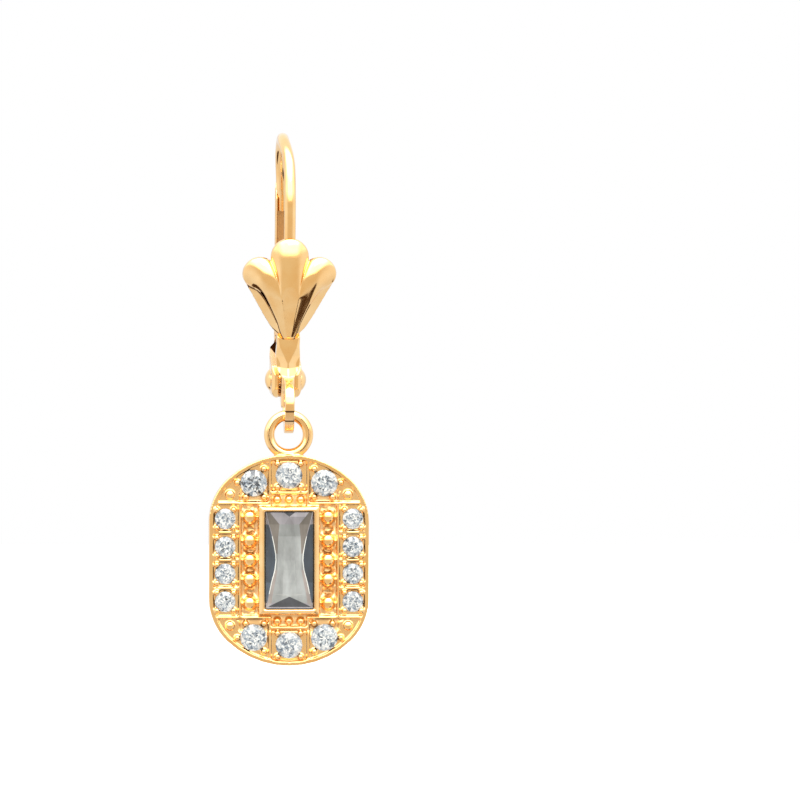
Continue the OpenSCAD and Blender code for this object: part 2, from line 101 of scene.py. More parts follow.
# Nicks across the ring's front, in degrees, and how far from one the gold is dark with painted shade
RING_NICKS = (178.9, 200.5)
NICK_HALF = 2.0
NICK_DEPTH = 0.05
NICK_DARK = (3.2, 1.2)
# Below the first nick the ring's outer wall gets painted shade, a deeper gold: how far in and out of its
# radius it counts
RING_WALL = (0.12, 0.05)
RING_WALL_SPARE = 0.02
RING_LOW_END = 235.0
RING_LOW_MARK = 0.8

# Neck: it spreads downwards, and its slopes begin below its top and end above its foot
NECK_SPREAD = 0.5
SPREAD_DOWN_Z = (-7.7, -9.0)
SPREAD_FOOT_Z = (-9.5, -9.2)
SPREAD_FRONT_Y = (-2.7, -2.9)
NECK_TOP_Z = -7.2
NECK_FOOT_Z = (-9.9, -9.4)
# The front facet narrows downwards to a point, and those beside it slope away
FACET_HALF = 0.68
FACET_Z = (-8.75, -7.35)
FACET_SLOPE = 0.75
FACET_REACH = 0.5
# The slopes are full this far in front of a leaning line on the neck's side
SIDE_Y = -2.85
SIDE_AT_Z = -9.5
SIDE_LEAN = 0.15
SIDE_DEPTH = 0.7
# The neck's top is lifted to the shell's tip, more at its edges
LIFT_Z = (-7.75, -7.40)
LIFT_TOP_Z = -7.15
LIFT_FRONT_Y = -3.62
LIFT_MIDDLE = 0.40
LIFT_EDGES = 0.22
LIFT_HALF = 0.66

# Shell: angles in degrees, reaches from the point where the lobes' lines meet
LOBE_MID_REACH = 5.62
LOBE_MID_R = 1.14
LOBE_SIDE_REACH = 4.92
LOBE_SIDE_R = 1.0
LOBE_SIDE_AT = 21.2
LOBE_MID_HALF = math.degrees(math.asin(LOBE_MID_R / LOBE_MID_REACH))
LOBE_SIDE_HALF = math.degrees(math.asin(LOBE_SIDE_R / LOBE_SIDE_REACH))
SHELL_HALF = LOBE_SIDE_AT + LOBE_SIDE_HALF
LOBE_STEPS = 44
REACH_STEPS = 60
SHELL_TIP_Z = -7.26
SHELL_BACK_Y = -3.60
SHELL_LEAN = 0.113
TIP_BLUNT = 0.45
TIP_ROUND = 0.04
TIP_LIFT = 0.42
# The flat back's faces meet this far above the tip
HUB_UP = 3.0
# Depth from the back, at the tip and at the crest, which lies at this share of the reach
SHELL_WALL = 0.36
SHELL_TIP_DEPTH = 0.76
SHELL_DEPTH = 1.33
SHELL_CREST = 0.56
# Beyond the crest the depth falls as a rounded end, by these powers
END_FALL = 2.2
END_SWELL = 0.8
# How far the front falls beside a lobe's ridge: between lobes low on the shell and at the heads
SHELL_VALLEY = 0.10
HEAD_VALLEY = 0.15
HEAD_SHARE = (0.5, 0.85)
RIDGE_FLAT = 0.2
# Low on the shell the side lobes slope away from the middle one, and the middle one's edges bulge
SHELL_TURN = 0.62
SHELL_FLANK = 0.78
LOBE_BULGE = 0.32
SHELL_PINCH = 0.26
PINCH_SHARE = 0.3
# How far the back stands out beside the front, low on the shell and at the heads
SHELL_SKIRT = 0.40
HEAD_SKIRT = 0.07
# Dark lines on the shell, painted shade in the creases and a painted dark reflection beside the left one:
# places across it as shares of its half angle, and their ends along the reach
CREASE_AT = 0.93
CREASE_W = 0.06
CREASE_TOP = 0.56
DARK_REFLECTION_AT = 0.95
DARK_REFLECTION_W = 0.13
DARK_REFLECTION_TOP = 0.74

# Lever: the outer edge of its bent spine, in the side plane of the hook, as (back, up)
SPINE_EDGE = [(0.75, -11.60), (2.04, -10.70), (3.72, -9.83), (4.20, -9.45), (4.45, -8.95),
              (4.65, -7.40), (4.81, -5.00), (4.93, -3.00), (5.08, 0.22)]
# Within this distance of that edge the spine is rounded, down to this share of its width
SPINE_R = 0.46
SPINE_LEAST = 0.05
# The leg's outer walls stand in a little behind the spine
FLANGE_X = 0.38
FLANGE_INSET = 0.035
FLANGE_FADE = 0.08
FLANGE_Z = (-9.2, -8.6)
# The cheeks' front and lower ends are rounded over from their outer faces
SLOT_HALF = 0.5
CHEEK_TOP_Z = -9.3
CHEEK_ROUND = 0.35
CHEEK_THIN = 0.5
CHEEK_LOW_Z = -14.75
CHEEK_LOW_H = 0.54
CHEEK_LOW_BACK_Y = 1.2
CHEEK_LEAST = 0.01
# The channel's inside gets dark painted shade, most of all at the bend
LEG_FROM_Z = -8.6
LEG_INSIDE_HALF = 0.345
FOOT_INSIDE_HALF = 0.47
INSIDE_FADE = 0.05
INSIDE_DEPTH = (0.2, 0.28)
INSIDE_MARK = 1.3
BEND_MARK = 0.7
BEND_LOW_Z = (-9.9, -9.6)
BEND_HIGH_Z = (-7.9, -8.2)
# The cheeks' upper edge gets painted shade, a deeper gold, dark where it is a ledge behind a slanting line
LEDGE_Z = (-9.5, -9.4)
LEDGE_TOP_Z = -8.7
LEDGE_FRONT_Y = -0.2
LEDGE_SLANT = 5.0
LEDGE_REACH = 0.4
LEDGE_FADE = 0.3
LEDGE_BACK_Y = 3.2
EDGE_MARK = 0.9

# Pendant, from its own middle
RIM_Y = -0.62
FIELD_Y = -0.30
RECESS_Y = (RIM_Y + 0.08, FIELD_Y)
# Only the plate's front inside this half width and half height has marks of depth, for painted shade
PLATE_INNER = (4.55, 6.2)
PLATE_FRONT_Y = 0.1
# Its outline's corners are round about these places
CORNER_X = 1.2
CORNER_Z = 2.5
CORNER_R = 3.6
# The centre stone's face and its bezel, whose front is a roof with its crest at a share of its width
BAGUETTE_HALF = (1.42, 2.875)
BEZEL_HALF = (1.84, 3.23)
BEZEL_MARGIN = 0.1
BEZEL_Y = -1.10
BEZEL_CREST = 0.36
ROOF_Y = RIM_Y - 0.12
ROOF_INNER_FALL = 0.16
ROOF_OUTER_FALL = 0.24
# The round stones' cells are shallower than the field
CELL_FROM_X = 2.95
CELL_FROM_Z = 4.25
CELL_RISE = 0.15
CELL_BACK_Y = 0.05
CELL_INSET = 0.15
# Columns of beads on a hammered floor: its waves in radians per mm across and up, and its pits
BEAD_X = 2.34
BEAD_ROWS = (-2.58, -1.17, 0.0, 1.17, 2.58)
COLUMN_HALF = 0.55
FLOOR_NEAR = 0.05
HAMMER_DEPTH = 0.03
HAMMER_WAVES = ((15, 6), (-7, 12))
# Half width and half height of a pit
PIT_HALF = (0.42, 0.30)
PIT_DEPTH = 0.22
PIT_STEEP = 2.0
# Painted shade in the pits: where in a pit it begins and is full, its strength, and how far back a point
# must lie to get it
PIT_MARK_FROM = (0.16, 0.56)
PIT_MARK = 0.36
PIT_MARK_Y = FIELD_Y - 0.08
# The pendant's ring, and the fine dark line of painted reflection along the crest of its wire: (from, to)
# in degrees
BAIL_R = 1.165
BAIL_WIRE_R = 0.32
BAIL_LINE_R = 1.20
BAIL_LINE_DARK = (0.048, 0.018)
BAIL_LINE_FADE = 8.0
BAIL_LINES = ((98, 242), (-62, 60))

# Centre stone: rows down its face as shares of its height, and the shares of its width where a
# side facet, the waist and the inner strip begin
BAGUETTE_ROWS = ((0.0, 0.0, 0.09, 0.38), (0.045, 0.02, 0.16, 0.5), (0.125, 0.06, 0.29, 0.40),
                 (0.17, 0.09, 0.28, 0.40), (0.25, 0.13, 0.265, 0.39), (0.33, 0.165, 0.255, 0.39),
                 (0.43, 0.20, 0.25, 0.38), (0.50, 0.208, 0.25, 0.38), (0.60, 0.185, 0.245, 0.38),
                 (0.73, 0.115, 0.20, 0.36), (0.85, 0.065, 0.15, 0.36), (0.877, 0.055, 0.14, 0.5),
                 (0.94, 0.03, 0.125, 0.22), (0.985, 0.01, 0.03, 0.04), (1.0, 0.0, 0.01, 0.02))
# How far its corners lie below the table, from the side to the middle, which dips
BAGUETTE_STEPS = (0.10, 0.03, 0.02, 0.0)
BAGUETTE_DIP = 0.05
WAIST_LINE_W = 0.016
# Below its face: the rim's depth in mm, the girdle's as a share of all, and the keel's length as a share
BAGUETTE_RIM = 0.2
BAGUETTE_GIRDLE = 0.35
BAGUETTE_KEEL = 0.55
# Colours of the painted reflections in the clear centre stone
SLATE = (0.024, 0.033, 0.046)
TAUPE = (0.085, 0.078, 0.072)
MIST = (0.136, 0.147, 0.152)
LILAC = (0.15, 0.147, 0.165)
INK = (0.028, 0.031, 0.038)
ROSE = (0.145, 0.132, 0.13)
WHITE = (0.36, 0.38, 0.38)
# Its painted reflections, a row for each column of facets from the side to the middle: (ends above this
# share of the height, colour, how much lighter or darker)
COLUMN_REFLECTIONS = (
    ((0.06, LILAC, 0.7), (0.72, SLATE, 1.0), (0.9, SLATE, 1.5), (1.0, LILAC, 1.05)),
    ((0.2, LILAC, 0.9), (0.8, WHITE, 1.0), (1.0, LILAC, 0.9)),
    ((0.12, TAUPE, 0.75), (0.4, TAUPE, 1.0), (0.6, MIST, 0.85), (1.0, ROSE, 1.0)),
    ((0.12, LILAC, 0.9), (0.25, MIST, 0.88), (0.93, MIST, 1.1), (1.0, LILAC, 1.0)),
    ((0.04, INK, 1.3), (0.12, LILAC, 0.75), (0.25, MIST, 0.84), (0.5, MIST, 1.12), (0.876, MIST, 1.25),
     (0.984, INK, 1.0), (1.0, LILAC, 1.0)))
# Its right half has darker painted slate, and one painted glint: (column, ends above this share, how much
# lighter)
RIGHT_SLATE = 0.8
RIGHT_GLINT = (3, 0.04, 1.25)
# By chance each painted reflection is darker or lighter, between these
REFLECTION_WOBBLE = (0.96, 1.04)

# Round cut, from the table's middle to the pavilion: how many corners a ring has, its share of the
# radius, its share of the depth, and how far it is turned in steps
CUT_RINGS = ((16, 0.13, 0.012, 0.5), (16, 0.36, 0.03, 0.0), (16, 0.58, 0.0, 0.0), (8, 0.80, 0.13, 0.0),
             (16, 0.995, 0.258, 0.0), (16, 0.995, 0.29, 0.0), (8, 0.55, 0.63, 0.0))
CUT_HEART = 0.05
# Each facet's colour is a painted reflection. How often a facet is dark: in the table from its middle out,
# in the star, round the kites and below
TABLE_DARK = (0.1, 0.5, 0.4, 0.3, 0.2)
STAR_DARK = 0.12
KITE_DARK = 0.15
PAVILION_DARK = 0.3
# Least and most brightness of the painted reflections on dark and on light facets
DARK_FACET = (0.0, 0.22)
LIGHT_FACET = (0.5, 1.0)
# Brightness of the darkest painted reflection on a facet, and how many more facets are dark: the first
# stone shows more of them
REFLECTION_DIM = {"stone_top_left": (0.05, 1.5)}
REFLECTION_DIM_OTHERS = (0.28, 1.0)


def pendant_origin():
    """The middle of the pendant's plate in the row frame, in mm."""
    stone_low, stone_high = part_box("centre_stone")
    frame_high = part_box("pendant_frame")[1]
    plate_half = -RIM_Y
    return Vector((0, frame_high.y / MM - plate_half, (stone_low.z + stone_high.z) / 2 / MM))


PENDANT = Matrix.Translation(pendant_origin())


# Mesh helpers

def smoothstep(low, high, value):
    t = min(1.0, max(0.0, (value - low) / (high - low)))
    return t * t * (3 - 2 * t)


def fade(values, start, full):
    """For an array: 0 up to start, 1 from full on, and straight between. Full may lie below start."""
    return np.clip((values - start) / (full - start), 0, 1)


def cad_copy(node):
    """A closed bmesh of a CAD node, in mm, to build a finer piece on."""
    bm = bmesh.new()
    bm.from_mesh(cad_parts[node].data)
    bmesh.ops.scale(bm, vec=(1 / MM,) * 3, verts=bm.verts)
    bmesh.ops.remove_doubles(bm, verts=bm.verts, dist=1e-4)
    return bm


def bridge(bm, rings):
    """Joins rings of points one after another into a skin, with a cap at each end."""
    n = len(rings[0])
    for low, high in zip(rings, rings[1:]):
        for k in range(n):
            bm.faces.new((low[k], low[(k + 1) % n], high[(k + 1) % n], high[k]))
    bm.faces.new(rings[0][::-1])
    bm.faces.new(rings[-1])


def add_tube(bm, path, place, sides=48):
    """A capped tube along a path of (back, up, radius, across) near a side plane."""
    rings = []
    for i, (y, z, r, x) in enumerate(path):
        before, after = path[max(i - 1, 0)], path[min(i + 1, len(path) - 1)]
        along = Vector((0, after[0] - before[0], after[1] - before[1])).normalized()
        across = Vector((0, -along.z, along.y))
        ring = []
        for k in range(sides):
            a = 2 * math.pi * k / sides
            at = Vector((x + r * math.cos(a), y, z)) + r * math.sin(a) * across
            ring.append(bm.verts.new(place @ at))
        rings.append(ring)
    bridge(bm, rings)


def new_object(name, bm):
    mesh = bpy.data.meshes.new(name)
    bm.normal_update()
    bm.to_mesh(mesh)
    bm.free()
    obj = bpy.data.objects.new(name, mesh)
    bpy.context.scene.collection.objects.link(obj)
    return obj


def bake_modifiers(obj):
    """Puts the result of the modifiers into the mesh itself."""
    bpy.context.view_layer.update()
    evaluated = obj.evaluated_get(bpy.context.evaluated_depsgraph_get())
    mesh = bpy.data.meshes.new_from_object(evaluated)
    obj.modifiers.clear()
    old = obj.data
    obj.data = mesh
    bpy.data.meshes.remove(old)
    mesh.name = obj.name


def cast(name, bm, voxel, passes, keep=1.0):
    """Fuses overlapping closed forms into one skin with the soft edges of a polished casting."""
    obj = new_object(name, bm)
    skin = obj.modifiers.new("skin", "REMESH")
    skin.mode = "VOXEL"
    skin.voxel_size = voxel
    soft = obj.modifiers.new("soft", "SMOOTH")
    soft.factor = 0.5
    soft.iterations = passes
    if keep < 1:
        fewer = obj.modifiers.new("fewer", "DECIMATE")
        fewer.ratio = keep
    bake_modifiers(obj)
    return obj


def points_of(obj):
    co = np.empty(len(obj.data.vertices) * 3, np.float32)
    obj.data.vertices.foreach_get("co", co)
    return co.reshape(-1, 3).astype(float)


def put_points(obj, points):
    obj.data.vertices.foreach_set("co", points.astype(np.float32).ravel())
    obj.data.update()


def into(place, points):
    """Points of the row frame in the frame that a matrix places."""
    back = np.array(place.inverted())
    return points @ back[:3, :3].T + back[:3, 3]


def out_of(place, points):
    m = np.array(place)
    return points @ m[:3, :3].T + m[:3, 3]


def distance_to_line(points, line):
    """Shortest distance of each point from a bent line."""
    best = np.full(len(points), np.inf)
    for a, b in zip(line, line[1:]):
        a, b = np.array(a), np.array(b)
        t = np.clip(((points - a) @ (b - a)) / ((b - a) @ (b - a)), 0, 1)
        best = np.minimum(best, np.linalg.norm(points - a - t[:, None] * (b - a), axis=1))
    return best


def set_recess_shade(obj, values):
    """Marks how deep each point lies in the cast work, from 0 on top to CREASE, for the shade painted
    there.
    """
    attribute = obj.data.attributes.new("recess_shade", "FLOAT", "POINT")
    attribute.data.foreach_set("value", np.asarray(values, np.float32))


def finish_piece(obj, material, body, node, smooth=True):
    """Scales a piece to metres, dresses it and puts it on its body in place of a node."""
    put_points(obj, points_of(obj) * MM)
    obj.data.materials.clear()
    obj.data.materials.append(material)
    for polygon in obj.data.polygons:
        polygon.use_smooth = smooth
    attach(obj, body)
    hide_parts(node)


# Materials

class Nodes:
    """Short calls for building a node tree."""

    def __init__(self, tree):
        self.tree = tree

    def add(self, kind, **settings):
        node = self.tree.nodes.new(kind)
        for key, value in settings.items():
            setattr(node, key, value)
        return node

    def link(self, out, into_socket):
        self.tree.links.new(out, into_socket)

    def feed(self, value, socket):
        """Links an output to a socket, or sets the socket to a number or a colour."""
        if isinstance(value, tuple):
            socket.default_value = (*value, 1)
        elif isinstance(value, (int, float)):
            socket.default_value = value
        else:
            self.link(value, socket)

    def noise(self, scale, detail=2.0, rough=0.5, stretch=(1, 1, 1)):
        place = self.add("ShaderNodeTexCoord")
        mapping = self.add("ShaderNodeMapping")
        mapping.inputs["Scale"].default_value = stretch
        self.link(place.outputs["Object"], mapping.inputs["Vector"])
        texture = self.add("ShaderNodeTexNoise")
        texture.inputs["Scale"].default_value = scale
        texture.inputs["Detail"].default_value = detail
        texture.inputs["Roughness"].default_value = rough
        self.link(mapping.outputs["Vector"], texture.inputs["Vector"])
        return texture.outputs["Fac"]

    def cells(self, scale):
        """A random value for each of many small cells."""
        place = self.add("ShaderNodeTexCoord")
        texture = self.add("ShaderNodeTexVoronoi")
        texture.inputs["Scale"].default_value = scale
        self.link(place.outputs["Object"], texture.inputs["Vector"])
        return texture.outputs["Color"]

    def remap(self, value, low, high, to_low, to_high, kind="LINEAR"):
        node = self.add("ShaderNodeMapRange", interpolation_type=kind)
        node.inputs["From Min"].default_value = low
        node.inputs["From Max"].default_value = high
        node.inputs["To Min"].default_value = to_low
        node.inputs["To Max"].default_value = to_high
        self.link(value, node.inputs["Value"])
        return node.outputs["Result"]

    def ramp(self, value, stops):
        node = self.add("ShaderNodeValToRGB")
        while len(node.color_ramp.elements) < len(stops):
            node.color_ramp.elements.new(0.5)
        for element, (at, colour) in zip(node.color_ramp.elements, stops):
            element.position = at
            element.color = (*colour, 1)
        self.link(value, node.inputs["Fac"])
        return node.outputs["Color"]

    def mix(self, share, first, second):
        node = self.add("ShaderNodeMix", data_type="RGBA")
        # The sockets for colours come after those for numbers and vectors
        first_colour, second_colour, mixed_colour = node.inputs[6], node.inputs[7], node.outputs[2]
        self.link(share, node.inputs["Factor"])
        self.feed(first, first_colour)
        self.feed(second, second_colour)
        return mixed_colour

    def math(self, operation, first, second=0.0):
        node = self.add("ShaderNodeMath", operation=operation)
        self.feed(first, node.inputs[0])
        self.feed(second, node.inputs[1])
        return node.outputs[0]

    def attribute(self, name, output="Fac"):
        node = self.add("ShaderNodeAttribute")
        node.attribute_name = name
        return node.outputs[output]


class Surface(Nodes):
    """The nodes of a material and its shader."""

    def __init__(self, name):
        self.material = bpy.data.materials.new(name)
        self.material.use_nodes = True
        super().__init__(self.material.node_tree)
        self.shader = self.tree.nodes["Principled BSDF"]

    def set(self, name, value):
        self.feed(value, self.shader.inputs[name])

    def bump(self, height, distance, strength):
        node = self.add("ShaderNodeBump")
        node.inputs["Distance"].default_value = distance
        node.inputs["Strength"].default_value = strength
        self.link(height, node.inputs["Height"])
        self.set("Normal", node.outputs["Normal"])


GOLD_BRIGHT = (0.96, 0.66, 0.33)
GOLD_WARM = (0.93, 0.58, 0.25)
# Painted shade: recesses take this deeper gold and creases the dark one, whose glancing reflection is
# darkened too
GOLD_RECESS_SHADE = (0.84, 0.57, 0.31)
GOLD_SHADE = (0.05, 0.02, 0.006)
CREASE_SHADE_GLANCE = (0.25, 0.10, 0.03)
NO_TINT = (1.0, 1.0, 1.0)
# Nearly all values of a noise lie in this span
NOISE_SPAN = (0.3, 0.7)


def gold(name, polish=0.07, grain_rise=2.0e-6, satin=None):
    """Polished gold: a little warmer in patches, with fine handling marks. Where satin is given, the
    piece has marked recesses: shade is painted on them as a deeper gold, they are rougher by that much,
    and creases get a dark painted shade, on their glancing reflection too."""
    n = Surface(name)
    cloud = n.noise(scale=900, detail=3)
    tone = n.mix(n.remap(cloud, 0.35, 0.65, 0, 1), GOLD_BRIGHT, GOLD_WARM)
    rough = n.remap(cloud, *NOISE_SPAN, polish * 0.8, polish * 1.5)
    if satin is not None:
        recess_shade = n.attribute("recess_shade")
        recess_shading = n.remap(recess_shade, 0, 1, 0, 1)
        crease_shading = n.remap(recess_shade, 1, CREASE, 0, 1)
        tone = n.mix(crease_shading, n.mix(recess_shading, tone, GOLD_RECESS_SHADE), GOLD_SHADE)
        rough = n.math("ADD", rough, n.remap(recess_shade, 0, 1, 0, satin))
        # Painted shade on the creases' glancing reflection
        n.set("Specular Tint", n.mix(crease_shading, NO_TINT, CREASE_SHADE_GLANCE))
    n.set("Base Color", tone)
    n.set("Roughness", rough)
    n.set("Metallic", 1.0)
    n.bump(n.noise(scale=6500, detail=4, rough=0.7), grain_rise, strength=0.35)
    return n.material


# A round stone's painted reflections: their colour over the brightness of a facet, the haze on it and its
# thickest, and how far the smaller painted reflections go below and above a facet's brightness
CLEAR_STOPS = [(0.0, (0.005, 0.008, 0.014)), (0.15, (0.018, 0.025, 0.035)), (0.3, (0.05, 0.062, 0.08)),
               (0.5, (0.115, 0.145, 0.18)), (0.75, (0.19, 0.22, 0.25)), (1.0, (0.42, 0.43, 0.425))]
HAZE = (0.17, 0.18, 0.20)
HAZE_MOST = 0.25
GLINT_SPAN = (-0.26, 0.30)


def faceted_glass(name, roughness):
    """Cut glass: each facet has a painted reflection, broken by smaller painted ones of the facets behind
    it.
    """
    n = Surface(name)
    glints = n.remap(n.cells(scale=11000), 0, 1, *GLINT_SPAN)
    reflection_tint = n.ramp(n.math("ADD", n.attribute("facet"), glints), CLEAR_STOPS)
    haze = n.remap(n.noise(scale=1500), 0.4, 0.7, 0, HAZE_MOST)
    n.set("Base Color", n.mix(haze, reflection_tint, HAZE))
    n.set("Roughness", n.remap(n.noise(scale=4000), *NOISE_SPAN, roughness * 0.7, roughness * 1.4))
    n.set("IOR", 1.55)
    return n.material


def step_cut_glass(name):
    """The centre stone's glass: the painted reflections of its facets, lighter and darker in soft clouds,
    under a gloss.
    """
    n = Surface(name)
    streaks = n.noise(scale=1300, detail=4, rough=0.6, stretch=(1, 1, 0.4))
    clouded = n.add("ShaderNodeHueSaturation")
    n.link(n.remap(streaks, *NOISE_SPAN, 0.72, 1.3), clouded.inputs["Value"])
    n.link(n.attribute("reflection_tint", "Color"), clouded.inputs["Color"])
    n.set("Base Color", clouded.outputs["Color"])
    n.set("Roughness", n.remap(n.noise(scale=3000), *NOISE_SPAN, 0.04, 0.09))
    n.set("IOR", 1.6)
    return n.material


# Ear hook: wire, stem, neck and split ring

def wire_sway(angle):
    """Sideways offset of the wire at an angle on the hoop, smooth between the table's rows."""
    for (a0, x0), (a1, x1) in zip(WIRE_SWAY, WIRE_SWAY[1:]):
        if angle <= a1:
            return x0 + (x1 - x0) * smoothstep(a0, a1, angle)
    return 0.0


def hoop_path():
    """The wire from its front leg over the hoop to its thinner end, as rows for add_tube."""
    leg_steps, arc_steps = 12, 96
    path = [(-HOOP_R, LEG_FOOT_Z * (1 - k / leg_steps), WIRE_R, 0.0) for k in range(leg_steps)]
    end = math.degrees(math.asin(END_ARC_Z / HOOP_R))
    for k in range(arc_steps + 1):
        angle = 180 - (180 - end) * k / arc_steps
        a = math.radians(angle)
        path.append((HOOP_R * math.cos(a), HOOP_R * math.sin(a), WIRE_R, wire_sway(angle)))
    back = HOOP_R - END_INSET
    thin_sway, end_sway = (wire_sway(end) * share for share in END_SWAY)
    path.append((back, END_THIN_Z, END_R, thin_sway))
    for a in END_DOME_ANGLES:
        path.append((back, END_Z - END_R * math.sin(a) * END_DOME, END_R * math.cos(a), end_sway))
    return path


def add_split_ring(bm):
    """The flat ring that carries the pendant, with rounded edges, nicks and its open seam."""
    steps, corner_steps = 360, 4
    half_w = RING_W / 2 - RING_SOFT
    outer, inner = RING_OUT_R - RING_SOFT, RING_IN_R + RING_SOFT
    section = []
    corners = ((outer, half_w, 0), (inner, half_w, 90), (inner, -half_w, 180), (outer, -half_w, 270))
    for r, x, start in corners:
        for k in range(corner_steps):
            a = math.radians(start + 90 * k / (corner_steps - 1))
            section.append((r + RING_SOFT * math.cos(a), x + RING_SOFT * math.sin(a)))
    rings = []
    for i in range(steps + 1):
        angle = SEAM_AT + SEAM_HALF + (360 - 2 * SEAM_HALF) * i / steps
        nick = sum(NICK_DEPTH * max(0.0, 1 - abs(angle - at) / NICK_HALF) for at in RING_NICKS)
        a = math.radians(angle)
        ring = []
        for r, x in section:
            r = min(r, RING_OUT_R - nick)
            at = Vector((x, RING_AT[0] + r * math.cos(a), RING_AT[1] + r * math.sin(a)))
            ring.append(bm.verts.new(HOOK @ at))
        rings.append(ring)
    bridge(bm, rings)


def shape_neck(local):
    """Spreads the neck, cuts its front into three facets and raises its top to the shell's tip."""
    x, y, z = local.T
    x *= 1 + NECK_SPREAD * fade(z, *SPREAD_DOWN_Z) * fade(z, *SPREAD_FOOT_Z) * fade(y, *SPREAD_FRONT_Y)
    side_y = SIDE_Y - SIDE_LEAN * (z - SIDE_AT_Z)
    sloped = (z < NECK_TOP_Z) * fade(z, *NECK_FOOT_Z) * fade(y, side_y, side_y - SIDE_DEPTH)
    beside_facet = np.abs(x) - FACET_HALF * fade(z, *FACET_Z)
    y += sloped * FACET_SLOPE * np.clip(beside_facet, 0, FACET_REACH)
    top = fade(z, *LIFT_Z) * (z < LIFT_TOP_Z) * (y < LIFT_FRONT_Y)
    z += top * (LIFT_MIDDLE + LIFT_EDGES * fade(np.abs(x), 0, LIFT_HALF) ** 2)


def ring_shade_marks(local):
    """Marks of painted shade on the split ring: dark nicks, and a deeper gold from the first one down."""
    from_middle = local[:, 1:] - RING_AT
    r = np.hypot(*from_middle.T)
    angle = np.degrees(np.arctan2(from_middle[:, 1], from_middle[:, 0])) % 360
    on_wall = (r > RING_OUT_R - RING_WALL[0]) & (r < RING_OUT_R + RING_WALL[1])
    on_wall &= np.abs(local[:, 0]) < RING_W / 2 + RING_WALL_SPARE
    marks = RING_LOW_MARK * ((angle > RING_NICKS[0]) & (angle < RING_LOW_END))
    for at in RING_NICKS:
        marks = np.maximum(marks, CREASE * fade(np.abs(angle - at), *NICK_DARK))
    return np.where(on_wall, marks, 0)


def make_ear_hook(material):
    bm = cad_copy("ear_hook")
    bmesh.ops.bisect_plane(bm, geom=bm.verts[:] + bm.edges[:] + bm.faces[:], dist=1e-5,
                           plane_co=HOOK @ Vector((0, 0, CUT_Z)),
                           plane_no=HOOK.to_3x3() @ Vector((0, 0, 1)), clear_outer=True)
    bmesh.ops.holes_fill(bm, edges=[e for e in bm.edges if e.is_boundary])
    add_tube(bm, hoop_path(), HOOK)
    add_split_ring(bm)
    obj = cast("ear_hook_cast", bm, voxel=0.037, passes=7)
    local = into(HOOK, points_of(obj))
    shape_neck(local)
    put_points(obj, out_of(HOOK, local))
    set_recess_shade(obj, ring_shade_marks(local))
    finish_piece(obj, material, "hook", "ear_hook")


# Shell of three lobes

def edge_reach(angle):
    """Reach of the lobes' round heads at an angle of the fan."""
    side = abs(angle) > LOBE_MID_HALF
    reach = LOBE_SIDE_REACH if side else LOBE_MID_REACH
    r = LOBE_SIDE_R if side else LOBE_MID_R
    off = math.radians(abs(angle) - LOBE_SIDE_AT if side else angle)
    return reach * math.cos(off) + math.sqrt(max(0.0, r * r - (reach * math.sin(off)) ** 2))


def lobe_share(angle, side):
    """How far an angle is across its own lobe, from -1 to 1."""
    if not side:
        return angle / LOBE_MID_HALF
    off = abs(angle) - LOBE_SIDE_AT
    return off / (LOBE_SIDE_AT - LOBE_MID_HALF) if off < 0 else off / LOBE_SIDE_HALF


def shell_back(z):
    return SHELL_BACK_Y - SHELL_LEAN * (z - SHELL_TIP_Z)


def front_depth(share, angle, side):
    """Depth of the front over the back: domes along the lobes, valleys between them, steep flanks."""
    beyond = max(0.0, (share - SHELL_CREST) / (1 - SHELL_CREST))
    swell = max(0.0, 1 - beyond ** END_FALL) ** END_SWELL
    ridge = SHELL_TIP_DEPTH + (SHELL_DEPTH - SHELL_TIP_DEPTH) * min(1.0, share / SHELL_CREST)
    across = max(-1.0, min(1.0, lobe_share(angle, side)))
    head = smoothstep(*HEAD_SHARE, share)
    valley = SHELL_VALLEY + (HEAD_VALLEY - SHELL_VALLEY) * head
    height = ridge - SHELL_WALL
    if not side:
        height *= 1 - valley * ((1 - RIDGE_FLAT) * across ** 2 + RIDGE_FLAT * across ** 4)
    else:
        domed = 1 - valley * across ** 2 if across < 0 else math.sqrt(1 - across ** 2)
        outward = (across + 1) / 2
        edge = max(0.0, (outward - SHELL_FLANK) / (1 - SHELL_FLANK))
        sloped = (1 - valley - SHELL_TURN * share * outward / height) * math.sqrt(1 - edge ** 2)
        height *= sloped + (domed - sloped) * head
    tip = math.sqrt(1 - (1 - min(1.0, share / TIP_ROUND)) ** 2)
    return SHELL_WALL + max(0.0, height) * swell * tip


def fan_point(share, angle):
    """Place of a point of the fan, across and up, at a share of the reach there."""
    bulge = 1 - LOBE_BULGE * (1 - share)
    angle = math.copysign(SHELL_HALF * (abs(angle) / SHELL_HALF) ** bulge, angle)
    a = math.radians(angle)
    tip = TIP_BLUNT / math.cos(a)
    d = tip + share * (edge_reach(angle) - tip)
    return d * math.sin(a), SHELL_TIP_Z - TIP_BLUNT + d * math.cos(a)


def front_point(share, angle, side):
    """A point of the shell's front, which is drawn in between its tip and its heads."""
    x, z = fan_point(share, angle)
    pinch = 1 - SHELL_PINCH * smoothstep(0, PINCH_SHARE, share) * (1 - share ** 6)
    return HOOK @ Vector((x * pinch, shell_back(z) - front_depth(share, angle, side), z))


def back_point(share, angle):
    """A point of the back's edge, which stands out beside the front."""
    x, z = fan_point(share, angle)
    flank = max(0.0, abs(angle) - LOBE_SIDE_AT) / LOBE_SIDE_HALF
    on_flank = 0 < share < 1
    spread = HEAD_SKIRT + SHELL_SKIRT * (1 - share) if share < 1 else HEAD_SKIRT * flank ** 2
    x += spread * (math.copysign(1, angle) if on_flank else angle / SHELL_HALF)
    z += TIP_LIFT * (1 - share) ** 6 * (angle / SHELL_HALF) ** 2
    return HOOK @ Vector((x, shell_back(z), z))


